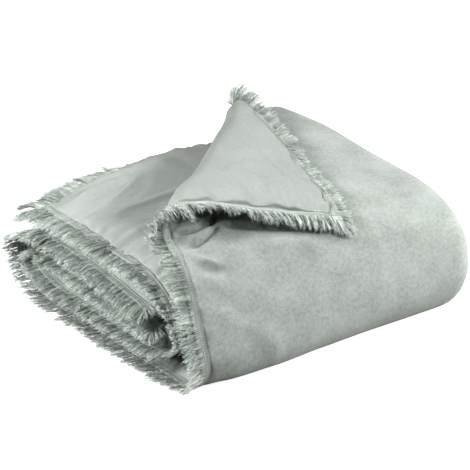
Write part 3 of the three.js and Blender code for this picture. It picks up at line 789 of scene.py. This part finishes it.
def makeFringe(name, side, start, stop, seed):
    count = int((stop - start) / fraySpacing.get(name, fray["spacing"]))
    root = frayStart.get(name, fray["start"])
    rings = fray["rings"]
    bm = bmesh.new()
    # one thread: a three-sided tube, its rings numbered along z
    bmesh.ops.create_circle(bm, segments=3, radius=1.0, cap_ends=True)
    top = bm.faces[:]
    for k in range(1, rings):
        grown = bmesh.ops.extrude_face_region(bm, geom=top)["geom"]
        bmesh.ops.delete(bm, geom=top, context="FACES_ONLY")
        top = [g for g in grown if isinstance(g, bmesh.types.BMFace)]
        raised = [g for g in grown if isinstance(g, bmesh.types.BMVert)]
        bmesh.ops.translate(bm, verts=raised, vec=(0, 0, 1))
    bmesh.ops.recalc_face_normals(bm, faces=bm.faces[:])
    repeatShape(bm, count)

    rng = np.random.default_rng(seed)
    # threads stand closer toward a corner of the quilt
    cornerFrom, cornerTo = start <= 0, stop >= (quilt["width"] if side in ("back", "end") else length) - 1
    own = (np.arange(count) + rng.random(count)) / count
    own = own ** fray["closer"] if cornerFrom else own
    own = start + (stop - start) * (1 - (1 - own) ** fray["closer"] if cornerTo else own)
    tufts = max(int((stop - start) / fray["tuft"]), 1)
    centre = start + (np.arange(tufts) + 0.2 + 0.6 * rng.random(tufts)) * (stop - start) / tufts
    which = np.abs(own[:, None] - centre[None, :]).argmin(1)
    tuftLean = rng.normal(0, fray["lean"] * fray["tuftPart"], tufts)
    tuftLift = rng.normal(0, fray["lift"] * fray["tuftPart"], tufts)
    tuftLength = 1 - fray["lengthSpread"] * rng.random(tufts)
    stops, lengths, rises = frayShape.get(name, ([0, 1], [38, 38], [0, 0]))
    reach = np.interp(own, stops, lengths) * tuftLength[which]
    reach *= fray["shortest"] + fray["lengthRange"] * rng.random(count)
    wear = cloud(own / fray["wornLong"], 0.5, seed + 3)
    reach *= 1 - fray["worn"] * ease((wear - fray["wornFrom"]) / fray["wornStep"])
    lean = tuftLean[which] + rng.normal(0, fray["lean"] * fray["threadPart"], count)
    lean += fray["sweep"] * cloud(own / fray["sweepLong"], 0.5, seed + 1)
    lift = tuftLift[which] + rng.normal(0, fray["lift"] * fray["threadPart"], count)
    lift += fray["swellUp"] * cloud(own / fray["swellLong"], 0.5, seed + 2)
    share = np.linspace(0, 1, rings)

    def unsteady(ofThread, ofTuft, power):
        # each tuft wanders, and each thread a little from its tuft
        drift = rng.normal(0, ofThread, (count, rings)) + rng.normal(0, ofTuft, (tufts, rings))[which]
        tipDrift = rng.normal(0, fray["curl"], (count, 1))
        tipDrift = tipDrift + rng.normal(0, fray["tuftCurl"], (tufts, 1))[which]
        return drift * np.minimum(share * 2.5, 1) + tipDrift * share ** power

    wander = unsteady(fray["crinkle"], fray["tuftCrinkle"], 2.5)
    rise = unsteady(fray["crinkle"], fray["tuftCrinkle"], 2.5)
    rise = rise + np.interp(own, stops, rises)[:, None] * share ** 1.3
    shorten = unsteady(0.0, 0.0, 3.0)
    # the roots lie on either face of the hem
    level = np.where(rng.random(count) < 0.5, -1, 1) * rng.uniform(0.6, 1.0, count) * fray["bed"]
    pull = fray["gatherToTuft"] * rng.uniform(0.5, 1.1, count)
    tone = fray["tone"] + fray["toneSpread"] * rng.normal(0, 1, count)
    tone = np.clip(tone + fray["tuftTone"] * rng.normal(0, 1, tufts)[which], 0, 1)
    # a corner's threads fan out round it
    fan = np.zeros(count)
    if cornerFrom:
        fan -= fray["fan"] * np.clip(1 - (own - start) / fray["fanWide"], 0, 1) ** fray["fanBend"]
    if cornerTo:
        fan += fray["fan"] * np.clip(1 - (stop - own) / fray["fanWide"], 0, 1) ** fray["fanBend"]

    def path(k):
        # the k-th ring of every thread
        f = k / (rings - 1)
        along = own + (centre[which] - own) * pull * f ** 1.2 + (lean + fan) * f ** 1.3 + wander[:, k]
        beyond = root + (reach - root) * f - np.abs(shorten[:, k])
        s, t = edgePoint(side, along, beyond)
        clipS, clipT = np.clip(s, 0, quilt["width"]), np.clip(t, 0, length)
        up = swellAt(clipS, clipT) + hemWaves(clipS, clipT)
        up += level * (1 - f) ** 0.5 + lift * f ** 1.4 + rise[:, k]
        normal = facing(clothAt, s, t)
        return clothAt(s, t) + normal * up[:, None], normal

    rows = [path(k) for k in range(rings)]
    line = np.stack([row[0] for row in rows], 1)
    normals = np.stack([row[1] for row in rows], 1)
    tangent = np.gradient(line, axis=1)
    tangent /= np.maximum(np.linalg.norm(tangent, axis=-1, keepdims=True), 1e-9)
    beside = np.cross(tangent, normals)
    beside /= np.maximum(np.linalg.norm(beside, axis=-1, keepdims=True), 1e-9)
    above = np.cross(beside, tangent)

    def placeOf(local, item):
        ring = np.rint(local[:, 2]).astype(int)
        thick = fray["root"] + (fray["tip"] - fray["root"]) * ring / (rings - 1)
        offset = beside[item, ring] * local[:, :1] + above[item, ring] * local[:, 1:2]
        # painted shade: the thread's tone is darkened toward its root, where the fringe shades itself
        shade = tone[item] - fray["paintedRootShade"] * (1 - ring / (rings - 1))
        return line[item, ring] + offset * thick[:, None], shade

    piece = finishRepeated(bm, count, "fray" + name, frayFinish, placeOf)
    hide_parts("fringe" + name)
    return piece


for number, (name, side, start, stop) in enumerate(strips):
    makeFringe(name, side, start, stop, 100 + number)
print("fringe made")

# topstitching
stitch = {
    "pitch": 5.0, "long": 1.9, "wide": 0.45, "lines": (14.0, 21.5), "raise": 0.15,
    "tone": 0.7, "toneSpread": 0.12,
}


def makeStitches():
    spots = []
    for line in stitch["lines"]:
        for side, total in (("sideOuter", length), ("sideInner", length), ("back", quilt["width"]),
                            ("end", quilt["width"])):
            along = np.arange(line, total - line, stitch["pitch"])
            for face in (1, -1):
                for a in along:
                    spots.append((side, a, -line, face))
    bm = bmesh.new()
    bmesh.ops.create_icosphere(bm, subdivisions=1, radius=1.0)
    repeatShape(bm, len(spots))
    names = np.array([spot[0] for spot in spots])
    along = np.array([spot[1] for spot in spots])
    beyond = np.array([spot[2] for spot in spots])
    face = np.array([spot[3] for spot in spots], float)
    s, t = np.zeros(len(spots)), np.zeros(len(spots))
    for side in ("sideOuter", "sideInner", "back", "end"):
        chosen = names == side
        s[chosen], t[chosen] = edgePoint(side, along[chosen], beyond[chosen])
    runsAlongT = np.isin(names, ("sideOuter", "sideInner"))
    stepS, stepT = np.where(runsAlongT, 0, 1.0), np.where(runsAlongT, 1.0, 0)
    normal = facing(clothAt, s, t) * face[:, None]
    centre = clothAt(s, t)
    run = clothAt(s + stepS, t + stepT) - clothAt(s - stepS, t - stepT)
    run /= np.linalg.norm(run, axis=-1, keepdims=True)
    beside = np.cross(run, normal)
    out = halfAt(s, t) + stitch["raise"] + face * (swellAt(s, t) + hemWaves(s, t))
    centre = centre + normal * out[:, None]
    rng = np.random.default_rng(7)
    tone = np.clip(rng.normal(stitch["tone"], stitch["toneSpread"], len(spots)), 0, 1)

    def placeOf(local, item):
        place = centre[item] + run[item] * local[:, :1] * stitch["long"]
        place += beside[item] * local[:, 1:2] * stitch["wide"]
        place += normal[item] * local[:, 2:3] * stitch["wide"]
        return place, tone[item]

    finishRepeated(bm, len(spots), "topStitching", stitchFinish, placeOf)


makeStitches()
print("topstitching made")

# floor, light and camera
studio = {
    "floor": (0.52, 0.52, 0.52), "floorGlow": 0.95, "floorHalf": 12.0, "floorBelow": 0.0004,
    "sky": 0.03, "backdrop": 1.0, "lightsAim": (0.0, 0.0, 0.15),
    "topPower": 20.0, "topSize": 0.9, "topFrom": (-0.6, 0.5, 2.5),
    "leftPower": 80.0, "leftSize": 0.5, "leftFrom": (-2.15, 0.2, 1.4),
    "frontPower": 67.0, "frontSize": 0.7, "frontFrom": (1.3, -1.95, 1.4),
    "sidePower": 46.0, "sideSize": 0.9, "sideFrom": (2.2, -0.9, 1.1),
    "gamma": 0.73,
}
camera = {
    "azimuth": -35.8, "elevation": 20.3, "distance": 3.2, "lens": 116.7, "sensor": 36.0,
    "aim": (-0.0021, -0.0648, 0.130), "right": -0.0294, "up": 0.0315, "near": 0.1, "far": 60.0,
}


def makeFloor():
    bm = bmesh.new()
    bmesh.ops.create_grid(bm, x_segments=1, y_segments=1, size=studio["floorHalf"])
    bmesh.ops.translate(bm, verts=bm.verts[:], vec=(0, 0, -studio["floorBelow"]))
    mesh = bpy.data.meshes.new("floor")
    bm.to_mesh(mesh)
    bm.free()
    floor = bpy.data.objects.new("floor", mesh)
    bpy.context.scene.collection.objects.link(floor)
    material = bpy.data.materials.new("paleFloor")
    material.use_nodes = True
    shader = material.node_tree.nodes["Principled BSDF"]
    shader.inputs["Base Color"].default_value = (*studio["floor"], 1)
    shader.inputs["Roughness"].default_value = 0.9
    shader.inputs["Specular IOR Level"].default_value = 0.0
    shader.inputs["Emission Color"].default_value = (1, 1, 1, 1)
    seen = addNode(material.node_tree, "ShaderNodeLightPath", (-600, -300))
    glow = addNode(material.node_tree, "ShaderNodeMath", (-300, -300), operation="MULTIPLY")
    glow.inputs[1].default_value = studio["floorGlow"]
    material.node_tree.links.new(seen.outputs["Is Camera Ray"], glow.inputs[0])
    material.node_tree.links.new(glow.outputs[0], shader.inputs["Emission Strength"])
    mesh.materials.append(material)


def makeLight(name, power, size, place):
    light = bpy.data.lights.new(name, "AREA")
    light.shape = "DISK"
    light.energy, light.size = power, size
    lamp = bpy.data.objects.new(name, light)
    lamp.location = place
    lamp.rotation_euler = (Vector(studio["lightsAim"]) - Vector(place)).to_track_quat("-Z", "Y").to_euler()
    bpy.context.scene.collection.objects.link(lamp)


def makeWorld():
    # a white backdrop that lights the eiderdown only softly
    world = bpy.data.worlds.new("studio")
    world.use_nodes = True
    tree = world.node_tree
    seen = addNode(tree, "ShaderNodeLightPath", (-600, 0))
    strength = addNode(tree, "ShaderNodeMapRange", (-300, 0))
    strength.inputs["To Min"].default_value = studio["sky"]
    strength.inputs["To Max"].default_value = studio["backdrop"]
    tree.links.new(seen.outputs["Is Camera Ray"], strength.inputs["Value"])
    tree.nodes["Background"].inputs["Color"].default_value = (1, 1, 1, 1)
    tree.links.new(strength.outputs["Result"], tree.nodes["Background"].inputs["Strength"])
    bpy.context.scene.world = world


def makeCamera():
    a, e = math.radians(camera["azimuth"]), math.radians(camera["elevation"])
    back = Vector((math.sin(a) * math.cos(e), -math.cos(a) * math.cos(e), math.sin(e)))
    right = Vector((math.cos(a), math.sin(a), 0))
    up = back.cross(right)
    lens = bpy.data.cameras.new("camera")
    lens.lens, lens.sensor_width = camera["lens"], camera["sensor"]
    lens.clip_start, lens.clip_end = camera["near"], camera["far"]
    view = bpy.data.objects.new("camera", lens)
    sideways = right * camera["right"] + up * camera["up"]
    view.location = Vector(camera["aim"]) + back * camera["distance"] + sideways
    view.rotation_euler = (-back).to_track_quat("-Z", "Y").to_euler()
    bpy.context.scene.collection.objects.link(view)
    bpy.context.scene.camera = view


makeFloor()
for lamp in ("top", "left", "front", "side"):
    makeLight(lamp + "Light", studio[lamp + "Power"], studio[lamp + "Size"], studio[lamp + "From"])
makeCamera()
makeWorld()
bpy.context.scene.view_settings.view_transform = "Standard"
bpy.context.scene.view_settings.gamma = studio["gamma"]
print("studio made")
